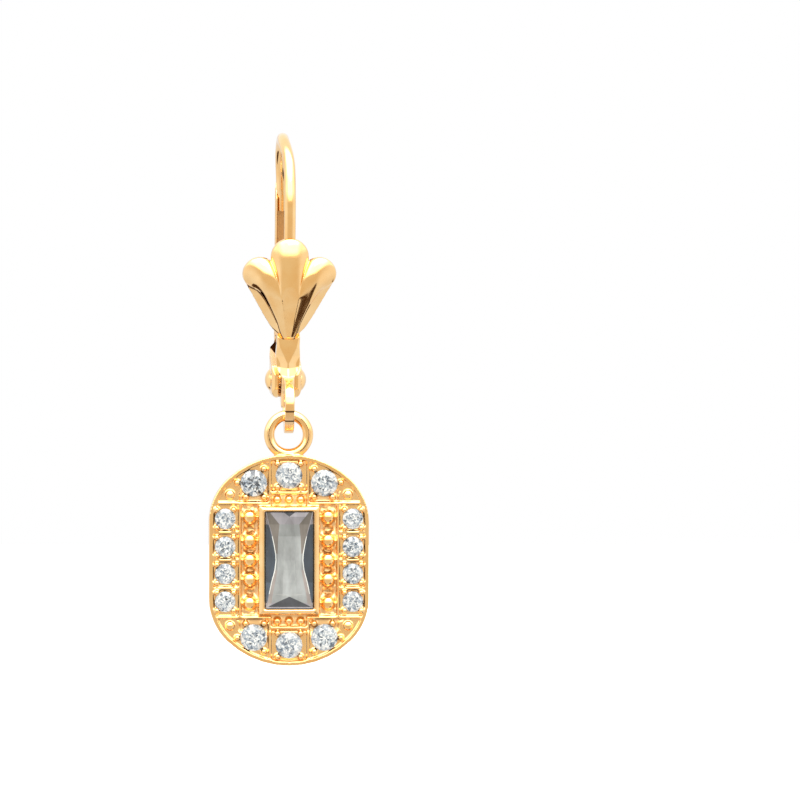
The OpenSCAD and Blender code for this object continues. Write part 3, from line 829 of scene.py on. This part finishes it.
def fan_angles():
    """Angles across the fan, closer at the lobes' edges, and whether each is on a side lobe."""
    lobes = ((-SHELL_HALF, -LOBE_MID_HALF, True), (-LOBE_MID_HALF, LOBE_MID_HALF, False),
             (LOBE_MID_HALF, SHELL_HALF, True))
    angles = [(-SHELL_HALF, True)]
    for start, stop, side in lobes:
        for i in range(1, LOBE_STEPS + 1):
            a = (start + stop) / 2 - (stop - start) / 2 * math.cos(math.pi * i / LOBE_STEPS)
            angles.append((a, side))
    return angles


def shell_shade_marks(points, shares):
    """Marks of the shell: painted shade in creases at the side lobes' feet, and a painted dark reflection
    beside the left one.
    """
    near = np.full(len(points), np.inf)
    for side in (-1, 1):
        crease = [front_point(s, side * SHELL_HALF * CREASE_AT, True) for s in shares if s < CREASE_TOP]
        near = np.minimum(near, distance_to_line(points, crease))
    reflection_shares = [s for s in shares if CREASE_TOP < s < DARK_REFLECTION_TOP]
    reflection_line = [front_point(s, -SHELL_HALF * DARK_REFLECTION_AT, True) for s in reflection_shares]
    near = np.minimum(near, distance_to_line(points, reflection_line) * CREASE_W / DARK_REFLECTION_W)
    return CREASE * fade(near, 2 * CREASE_W, CREASE_W)


def make_shell(material):
    angles = fan_angles()
    shares = [math.sin(math.pi / 2 * j / REACH_STEPS) for j in range(REACH_STEPS + 1)]
    bm = bmesh.new()
    grid = [[bm.verts.new(front_point(s, a, side)) for a, side in angles] for s in shares]
    for low, high in zip(grid, grid[1:]):
        for i in range(len(angles) - 1):
            bm.faces.new((low[i], low[i + 1], high[i + 1], high[i]))
    # The front's rim as (row, column), once round, and the flat back inside it
    n, m = len(angles), REACH_STEPS
    rim = [(j, 0) for j in range(m)] + [(m, i) for i in range(n)]
    rim += [(j, n - 1) for j in range(m - 1, -1, -1)] + [(0, i) for i in range(n - 2, 0, -1)]
    back = [bm.verts.new(back_point(shares[j], angles[i][0])) for j, i in rim]
    hub_z = SHELL_TIP_Z + HUB_UP
    hub = bm.verts.new(HOOK @ Vector((0, shell_back(hub_z), hub_z)))
    for k, (j, i) in enumerate(rim):
        j2, i2 = rim[(k + 1) % len(rim)]
        after = back[(k + 1) % len(rim)]
        bm.faces.new((grid[j][i], grid[j2][i2], after, back[k]))
        bm.faces.new((back[k], after, hub))
    bmesh.ops.recalc_face_normals(bm, faces=bm.faces)
    obj = cast("shell_cast", bm, voxel=0.03, passes=10)
    set_recess_shade(obj, shell_shade_marks(points_of(obj), shares))
    finish_piece(obj, material, "hook", "shell_ornament")


# Lever with its rounded spine

def shape_lever(local, hung_z, from_spine):
    """Rounds the spine, sets the leg's walls in and rounds over the cheeks' ends."""
    x, y, z = local.T
    rounding = np.sqrt(np.clip(1 - fade(from_spine, SPINE_R, 0) ** 2, 0, 1))
    x *= np.where(from_spine < SPINE_R, np.maximum(rounding, SPINE_LEAST), 1.0)
    inset = FLANGE_INSET * fade(from_spine, SPINE_R, SPINE_R + FLANGE_FADE) * fade(z, *FLANGE_Z)
    x -= np.sign(x) * inset * (np.abs(x) > FLANGE_X)
    end_y = y.min()
    near_end = fade(y, end_y + CHEEK_ROUND, end_y) * (z < CHEEK_TOP_Z)
    low_end = fade(hung_z, CHEEK_LOW_Z, CHEEK_LOW_Z - CHEEK_LOW_H) * (y < CHEEK_LOW_BACK_Y)
    thin = (1 - CHEEK_THIN * near_end ** 2) * np.sqrt(np.maximum(1 - low_end ** 2, CHEEK_LEAST))
    from_inner = np.abs(x) - SLOT_HALF
    x[:] = np.where(from_inner > 0, np.sign(x) * (SLOT_HALF + from_inner * thin), x)


def lever_shade_marks(local, from_spine):
    """Marks of painted shade on the lever: its inside, the bend, and the cheeks' upper edge with its
    ledge.
    """
    x, y, z = np.abs(local[:, 0]), local[:, 1], local[:, 2]
    inside_half = np.where(z > LEG_FROM_Z, LEG_INSIDE_HALF, FOOT_INSIDE_HALF)
    inside = fade(x, inside_half, inside_half - INSIDE_FADE) * fade(from_spine, *INSIDE_DEPTH)
    bend = fade(z, *BEND_LOW_Z) * fade(z, *BEND_HIGH_Z)
    ledge_from = LEDGE_FRONT_Y + LEDGE_SLANT * np.clip(x - FOOT_INSIDE_HALF, 0, LEDGE_REACH)
    ledge = fade(y, ledge_from, ledge_from + LEDGE_FADE)
    ledge *= fade(y, LEDGE_BACK_Y, LEDGE_BACK_Y - LEDGE_FADE)
    edge = fade(z, *LEDGE_Z) * (z < LEDGE_TOP_Z)
    edge_mark = np.maximum(CREASE * edge * ledge, EDGE_MARK * edge * (y < LEDGE_BACK_Y))
    return np.maximum(inside * (INSIDE_MARK + BEND_MARK * bend), edge_mark)


def make_lever(material):
    obj = cast("lever_channel", cad_copy("lever"), voxel=0.038, passes=4)
    local = into(HOOK, points_of(obj))
    from_spine = distance_to_line(local[:, 1:], SPINE_EDGE)
    shape_lever(local, points_of(obj)[:, 2], from_spine)
    put_points(obj, out_of(HOOK, local))
    set_recess_shade(obj, lever_shade_marks(local, from_spine))
    finish_piece(obj, material, "lever", "lever")


def make_spring(material):
    obj = cast("spring_strip", cad_copy("leaf_spring"), voxel=0.03, passes=2)
    finish_piece(obj, material, "lever", "leaf_spring")


# Pendant frame

def plate_inset(x, z):
    """How far inside the plate's outline points of its quarter lie, corners taken as round."""
    beyond_x, beyond_z = np.maximum(x - CORNER_X, 0), np.maximum(z - CORNER_Z, 0)
    return CORNER_R - np.hypot(beyond_x, beyond_z)


def shape_bezel(local):
    """Makes the bezel's front a roof: a steep slope to the stone and a longer one outwards."""
    x, y, z = np.abs(local[:, 0]), local[:, 1], np.abs(local[:, 2])
    beyond = np.maximum(x - BAGUETTE_HALF[0], z - BAGUETTE_HALF[1])
    on_bezel = (y < ROOF_Y) & (x < BEZEL_HALF[0] + BEZEL_MARGIN) & (z < BEZEL_HALF[1] + BEZEL_MARGIN)
    t = fade(beyond, 0, BEZEL_HALF[0] - BAGUETTE_HALF[0])
    inner = ROOF_INNER_FALL * (1 - t / BEZEL_CREST)
    outer = ROOF_OUTER_FALL * (t - BEZEL_CREST) / (1 - BEZEL_CREST)
    roof = np.where(t < BEZEL_CREST, inner, outer)
    y += np.where(on_bezel, roof * fade(y, ROOF_Y, BEZEL_Y), 0)


def raise_cells(local):
    """Makes the round stones' cells shallower than the field."""
    x, y, z = np.abs(local[:, 0]), local[:, 1], np.abs(local[:, 2])
    in_cell = ((x > CELL_FROM_X) | (z > CELL_FROM_Z)) & (y < CELL_BACK_Y)
    in_cell &= plate_inset(x, z) > CELL_INSET
    y -= np.where(in_cell, CELL_RISE * fade(y, RIM_Y, FIELD_Y), 0)


def hammer_columns(local):
    """Hammers the floor of the beads' columns, sinks pits between the beads and gives their marks of
    painted shade.
    """
    x, y, z = local.T
    from_column = np.abs(np.abs(x) - BEAD_X)
    floor = (np.abs(y - FIELD_Y) < FLOOR_NEAR) & (from_column < COLUMN_HALF)
    floor &= np.abs(z) < BEZEL_HALF[1]
    waves = [np.sin(across * x + up * z) for across, up in HAMMER_WAVES]
    y += np.where(floor, HAMMER_DEPTH * waves[0] * waves[1], 0)
    marks = np.zeros(len(local))
    for low, high in zip(BEAD_ROWS, BEAD_ROWS[1:]):
        from_pit = np.abs(z - (low + high) / 2)
        pit = fade(from_column, PIT_HALF[0], 0) * fade(from_pit, PIT_HALF[1], 0)
        floor = np.abs(y - FIELD_Y) < FLOOR_NEAR + HAMMER_DEPTH
        y += np.where(floor, PIT_DEPTH * np.clip(PIT_STEEP * pit, 0, 1), 0)
        marks = np.maximum(marks, fade(pit, *PIT_MARK_FROM) * (y > PIT_MARK_Y))
    return marks


def bail_reflection_marks(local):
    """Marks of the pendant's ring: a painted dark reflection, a fine line along the front of its wire."""
    bail_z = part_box("pendant_frame")[1].z / MM - BAIL_R - BAIL_WIRE_R - PENDANT.translation.z
    x, z = local[:, 0], local[:, 2] - bail_z
    angle = np.degrees(np.arctan2(z, x))
    line = fade(np.abs(np.hypot(x, z) - BAIL_LINE_R), *BAIL_LINE_DARK) * (local[:, 1] < 0)
    marks = np.zeros(len(local))
    for start, stop in BAIL_LINES:
        turn = (angle - start) % 360
        along = fade(turn, 0, BAIL_LINE_FADE) * fade(turn, stop - start, stop - start - BAIL_LINE_FADE)
        marks = np.maximum(marks, CREASE * along * line)
    return marks


def make_pendant(material):
    obj = cast("pendant_cast", cad_copy("pendant_frame"), voxel=0.05, passes=2, keep=0.58)
    local = into(PENDANT, points_of(obj))
    shape_bezel(local)
    raise_cells(local)
    pit_shade_marks = hammer_columns(local)
    put_points(obj, out_of(PENDANT, local))
    x, y, z = np.abs(local[:, 0]), local[:, 1], np.abs(local[:, 2])
    inside = (x < PLATE_INNER[0]) & (y < PLATE_FRONT_Y) & (z < PLATE_INNER[1])
    # Painted shade, deeper towards the recessed field and more in the pits between the beads
    marks = np.where(inside, fade(y, *RECESS_Y) + PIT_MARK * pit_shade_marks, 0)
    set_recess_shade(obj, np.maximum(marks, bail_reflection_marks(local)))
    finish_piece(obj, material, "pendant", "pendant_frame")


# Stones

def shade(colour, amount):
    """A colour made lighter or darker."""
    return tuple(min(1.0, c * amount) for c in colour)


def baguette_reflection(column, v, right):
    """Painted reflection of a facet of the centre stone, by its column and the share of the height it
    begins at.
    """
    colour, amount = next((reflection_tint, by) for below, reflection_tint, by in COLUMN_REFLECTIONS[column] if v < below)
    if right and colour is SLATE:
        amount *= RIGHT_SLATE
    glint_column, glint_above, glint = RIGHT_GLINT
    if right and column == glint_column and v < glint_above:
        amount = glint
    return shade(colour, amount)


def make_baguette(material):
    """A long step cut with a waist: side facets narrow the middle, with a chevron and a triangle."""
    low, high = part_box("centre_stone")
    low, high = low / MM, high / MM
    centre = (low + high) / 2
    half_w, half_h = BAGUETTE_HALF
    bm = bmesh.new()
    known, reflection_tints = {}, []

    def corner(x, y, z):
        key = (round(x, 4), round(y, 4), round(z, 4))
        if key not in known:
            known[key] = bm.verts.new(key)
        return known[key]

    def facet(corners, reflection_tint):
        loop = []
        for c in corners:
            if c not in loop:
                loop.append(c)
        if len(loop) > 2:
            bm.faces.new(loop)
            reflection_tints.append(reflection_tint)

    for right in (False, True):
        side = 1 if right else -1
        rows = []
        for v, edge, waist, strip in BAGUETTE_ROWS:
            shares = (0.0, edge, min(edge + WAIST_LINE_W, waist), waist, strip, 0.5)
            dip = BAGUETTE_DIP * math.sin(math.pi * v)
            z = centre.z + half_h * (1 - 2 * v)
            rows.append([corner(centre.x + side * half_w * (1 - 2 * u), low.y + depth, z)
                         for u, depth in zip(shares, BAGUETTE_STEPS + (dip, dip))])
        # Each facet of the mosaic is painted with a reflection
        for (v, *_), above, below in zip(BAGUETTE_ROWS, rows, rows[1:]):
            for column in range(len(COLUMN_REFLECTIONS)):
                reflection_tint = shade(baguette_reflection(column, v, right), random.uniform(*REFLECTION_WOBBLE))
                facet((above[column], above[column + 1], below[column + 1], below[column]), reflection_tint)
    # Around the mosaic: a rim under the bezel's lip, the girdle and the pavilion with its long keel
    outline = (high.x - centre.x, high.z - centre.z)
    girdle_y = low.y + BAGUETTE_GIRDLE * (high.y - low.y)
    loops = []
    for (x, z), y in ((BAGUETTE_HALF, low.y + BAGUETTE_STEPS[0]), (outline, low.y + BAGUETTE_RIM),
                      (outline, girdle_y)):
        loops.append([bm.verts.new((centre.x + sx * x, y, centre.z + sz * z))
                      for sx, sz in ((-1, -1), (1, -1), (1, 1), (-1, 1))])
    keel = [bm.verts.new((centre.x, high.y, centre.z + sz * BAGUETTE_KEEL * half_h)) for sz in (-1, 1)]
    # These facets are painted with reflections too
    for k in range(4):
        for outer, inner in zip(loops, loops[1:]):
            facet((outer[k], outer[(k + 1) % 4], inner[(k + 1) % 4], inner[k]), shade(LILAC, 0.8))
    last = loops[-1]
    facet((last[0], last[1], keel[0]), SLATE)
    facet((last[1], last[2], keel[1], keel[0]), shade(MIST, 0.7))
    facet((last[2], last[3], keel[1]), SLATE)
    facet((last[3], last[0], keel[0], keel[1]), shade(MIST, 0.9))
    bmesh.ops.recalc_face_normals(bm, faces=bm.faces)
    obj = new_object("baguette_cut", bm)
    attribute = obj.data.attributes.new("reflection_tint", "FLOAT_COLOR", "FACE")
    attribute.data.foreach_set("color", np.array([(*t, 1) for t in reflection_tints], np.float32).ravel())
    finish_piece(obj, material, "pendant", "centre_stone", smooth=False)


def sparkle(dark_share):
    """A facet's painted reflection: dark for some, light for the others."""
    return random.uniform(*(DARK_FACET if random.random() < dark_share else LIGHT_FACET))


def make_round_stone(node, material):
    """A round cut: table, star, kite and girdle facets above, mains and halves below."""
    low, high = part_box(node)
    centre = (low + high) / 2 / MM
    r = (high.x - low.x) / 2 / MM
    top_y, depth = low.y / MM, (high.y - low.y) / MM
    turn = random.uniform(0, 2 * math.pi / 8)
    darkest_reflection, dim = REFLECTION_DIM.get(node, REFLECTION_DIM_OTHERS)
    bm = bmesh.new()
    values = []

    def ring(count, out, down, shift):
        made = []
        for k in range(count):
            a = 2 * math.pi * (k + shift) / count + turn
            x, z = out * r * math.cos(a), out * r * math.sin(a)
            made.append(bm.verts.new((centre.x + x, top_y + down * depth, centre.z + z)))
        return made

    # Each facet gets a painted reflection, no darker than the stone's least brightness
    def facet(corners, dark_share):
        bm.faces.new(corners)
        values.append(darkest_reflection + (1 - darkest_reflection) * sparkle(dim * dark_share))

    heart = bm.verts.new((centre.x, top_y + CUT_HEART * depth, centre.z))
    core, inner, table, kite, girdle_top, girdle_low, pavilion = (ring(*row) for row in CUT_RINGS)
    point = bm.verts.new((centre.x, top_y + depth, centre.z))
    for k in range(16):
        after = (k + 1) % 16
        facet((heart, core[k], core[after]), TABLE_DARK[0])
        facet((core[k - 1], inner[k], core[k]), TABLE_DARK[1])
        facet((core[k], inner[k], inner[after]), TABLE_DARK[2])
        facet((inner[k], table[k], inner[after]), TABLE_DARK[3])
        facet((inner[after], table[k], table[after]), TABLE_DARK[4])
    for k in range(8):
        after = (k + 1) % 8
        even, odd, odd_next = 2 * k, 2 * k - 1, 2 * k + 1
        facet((table[odd], kite[k], table[even]), STAR_DARK)
        facet((table[even], kite[k], table[odd_next]), STAR_DARK)
        facet((table[odd_next], kite[k], girdle_top[odd_next]), KITE_DARK)
        facet((table[odd_next], girdle_top[odd_next], kite[after]), KITE_DARK)
        facet((kite[k], girdle_top[even], girdle_top[odd_next]), KITE_DARK)
        facet((kite[k], girdle_top[odd], girdle_top[even]), KITE_DARK)
        facet((pavilion[k], girdle_low[even], girdle_low[odd_next]), PAVILION_DARK)
        facet((pavilion[k], girdle_low[odd], girdle_low[even]), PAVILION_DARK)
        facet((pavilion[k], girdle_low[odd_next], pavilion[after]), PAVILION_DARK)
        facet((pavilion[k], pavilion[after], point), PAVILION_DARK)
    for k in range(16):
        after = (k + 1) % 16
        facet((girdle_top[k], girdle_top[after], girdle_low[after], girdle_low[k]), 0.0)
    bmesh.ops.recalc_face_normals(bm, faces=bm.faces)
    obj = new_object(node + "_cut", bm)
    attribute = obj.data.attributes.new("facet", "FLOAT", "FACE")
    attribute.data.foreach_set("value", np.array(values, np.float32))
    finish_piece(obj, material, "pendant", node, smooth=False)


# Studio: a direction's share along an axis, (from, to), and the brightness at both ends

# Walls, by how far a direction points aside, and the softbox by how far it points up, aside and back
WALLS = (0.6, 1.0, 0.9, 1.1)
SOFTBOX_UP = (0.08, 0.34, 0, 3.3)
SOFTBOX_ASIDE = (0.5, 0.85, 1, 0.2)
SOFTBOX_BACK = (0.02, 0.35, 1, 0.08)
# The open front and the ground before it, each as (axis, from, to), are a little darker and warmer
FRONT = ((0, -1, -0.05), 0.3, 0.88)
GROUND = ((0, -0.79, -0.61), 0.95, 0.99)
FRONT_TONE = (0.925, 0.815, 0.63)
WALL_TONE = (1.0, 1.0, 1.0)
# Dark openings of the tent: each lies where all its axes pass from their low to their high value
OPENINGS = ((((0.48, -0.35, -0.80), 0.968, 0.975), ((0, 1, 0), -0.46, -0.435)),
            (((-0.55, 0.57, -0.60), 0.976, 0.984),))
OPENING_LIGHT = 0.08
OPENING_TONE = (1.0, 0.5, 0.2)
# The floor, in mm, and a lamp above the earring, in metres and watts
FLOOR_HALF = 600
FLOOR_BELOW = 4
LAMP_AT = Vector((0.05, -0.12, 0.25))
LAMP_SIZE = 0.25
LAMP_POWER = 0.4

# Picture: its width, a pixel on the earring in mm, and the photo's middle line and hoop's top in pixels
PICTURE_PX = 800
PIXEL = 0.06
MIDDLE_X_PX = 288.6
HOOP_TOP_PX = 131.6
LENS = 350.0
SENSOR = 36.0
AZIMUTH = math.radians(-2.9)


def make_floor():
    bm = bmesh.new()
    bmesh.ops.create_grid(bm, x_segments=1, y_segments=1, size=FLOOR_HALF)
    obj = new_object("floor", bm)
    put_points(obj, points_of(obj) * MM)
    obj.location.z = CAD_BOX[0].z - FLOOR_BELOW * MM
    n = Surface("floor_white")
    n.set("Base Color", (0.93, 0.93, 0.93))
    n.set("Roughness", 0.9)
    n.set("Emission Color", (1, 1, 1))
    n.set("Emission Strength", 0.15)
    obj.data.materials.append(n.material)
    obj.visible_glossy = False


def make_world():
    """A white tent with a bright ceiling, a dimmer open front and two dark openings low at the sides."""
    world = bpy.data.worlds.new("studio")
    bpy.context.scene.world = world
    world.use_nodes = True
    n = Nodes(world.node_tree)
    n.tree.nodes.clear()
    direction = n.add("ShaderNodeTexCoord").outputs["Generated"]

    def along(axis):
        dot = n.add("ShaderNodeVectorMath", operation="DOT_PRODUCT")
        n.link(direction, dot.inputs[0])
        dot.inputs[1].default_value = Vector(axis).normalized()
        return dot.outputs["Value"]

    def step(value, low, high, first, last):
        return n.remap(value, low, high, first, last, "SMOOTHSTEP")

    aside = n.math("ABSOLUTE", along((1, 0, 0)))
    softbox = n.math("MULTIPLY", step(along((0, 0, 1)), *SOFTBOX_UP), step(aside, *SOFTBOX_ASIDE))
    softbox = n.math("MULTIPLY", softbox, step(along((0, 1, 0)), *SOFTBOX_BACK))
    light = n.math("ADD", step(aside, *WALLS), softbox)
    dark = 0.0
    for edges in OPENINGS:
        opening = 1.0
        for axis, low, high in edges:
            opening = n.math("MULTIPLY", opening, step(along(axis), low, high, 0, 1))
        dark = n.math("MAXIMUM", dark, opening)
    light = n.math("MULTIPLY", light, step(dark, 0, 1, 1, OPENING_LIGHT))
    front, ground = (step(along(axis), low, high, 0, 1) for axis, low, high in (FRONT, GROUND))
    warm = n.math("MAXIMUM", front, ground)
    tone = n.mix(dark, n.mix(warm, WALL_TONE, FRONT_TONE), OPENING_TONE)

    # The camera sees plain white behind the earring
    studio = n.add("ShaderNodeBackground")
    n.link(light, studio.inputs["Strength"])
    n.link(tone, studio.inputs["Color"])
    white = n.add("ShaderNodeBackground")
    n.feed((1, 1, 1), white.inputs["Color"])
    n.feed(1.0, white.inputs["Strength"])
    pick = n.add("ShaderNodeMixShader")
    n.link(n.add("ShaderNodeLightPath").outputs["Is Camera Ray"], pick.inputs[0])
    n.link(studio.outputs[0], pick.inputs[1])
    n.link(white.outputs[0], pick.inputs[2])
    n.link(pick.outputs[0], n.add("ShaderNodeOutputWorld").inputs["Surface"])


def make_lights():
    data = bpy.data.lights.new("overhead", "AREA")
    data.size = LAMP_SIZE
    data.energy = LAMP_POWER
    lamp = bpy.data.objects.new("overhead", data)
    lamp.location = LAMP_AT
    lamp.rotation_euler = (-LAMP_AT).to_track_quat("-Z", "Y").to_euler()
    lamp.visible_camera = False
    bpy.context.scene.collection.objects.link(lamp)


def make_camera():
    """A long lens a little left of the front, with the earring in the left half of the picture."""
    px = PIXEL * MM
    distance = PICTURE_PX * px * LENS / SENSOR
    back = Vector((math.sin(AZIMUTH), -math.cos(AZIMUTH), 0))
    right = Vector((math.cos(AZIMUTH), math.sin(AZIMUTH), 0))
    middle_z = CAD_BOX[1].z - (PICTURE_PX / 2 - HOOP_TOP_PX) * px
    target = Vector((0, PENDANT.translation.y * MM, middle_z))
    data = bpy.data.cameras.new("camera")
    data.lens = LENS
    data.sensor_width = SENSOR
    data.clip_start = 0.01
    camera = bpy.data.objects.new("camera", data)
    bpy.context.scene.collection.objects.link(camera)
    camera.location = target + back * distance
    aim = target + right * (PICTURE_PX / 2 - MIDDLE_X_PX) * px
    camera.rotation_mode = "QUATERNION"
    camera.rotation_quaternion = (aim - camera.location).to_track_quat("-Z", "Y")
    bpy.context.scene.camera = camera


make_camera()
make_world()
make_lights()
make_floor()
bpy.context.scene.view_settings.view_transform = "Standard"

make_ear_hook(gold("hook_gold", satin=0.14))
make_shell(gold("shell_gold", polish=0.11, grain_rise=0.8e-6, satin=0.14))
make_lever(gold("lever_gold", polish=0.09, grain_rise=0.5e-6, satin=0.3))
make_spring(gold("spring_gold", polish=0.12))
make_pendant(gold("pendant_gold", polish=0.08, grain_rise=4.0e-6, satin=0.24))
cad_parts["hinge_rivet"].data.materials.clear()
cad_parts["hinge_rivet"].data.materials.append(gold("rivet_gold"))

clear = faceted_glass("clear_stone", roughness=0.05)
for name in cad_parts:
    if name.startswith("stone_"):
        make_round_stone(name, clear)
make_baguette(step_cut_glass("step_cut_stone"))
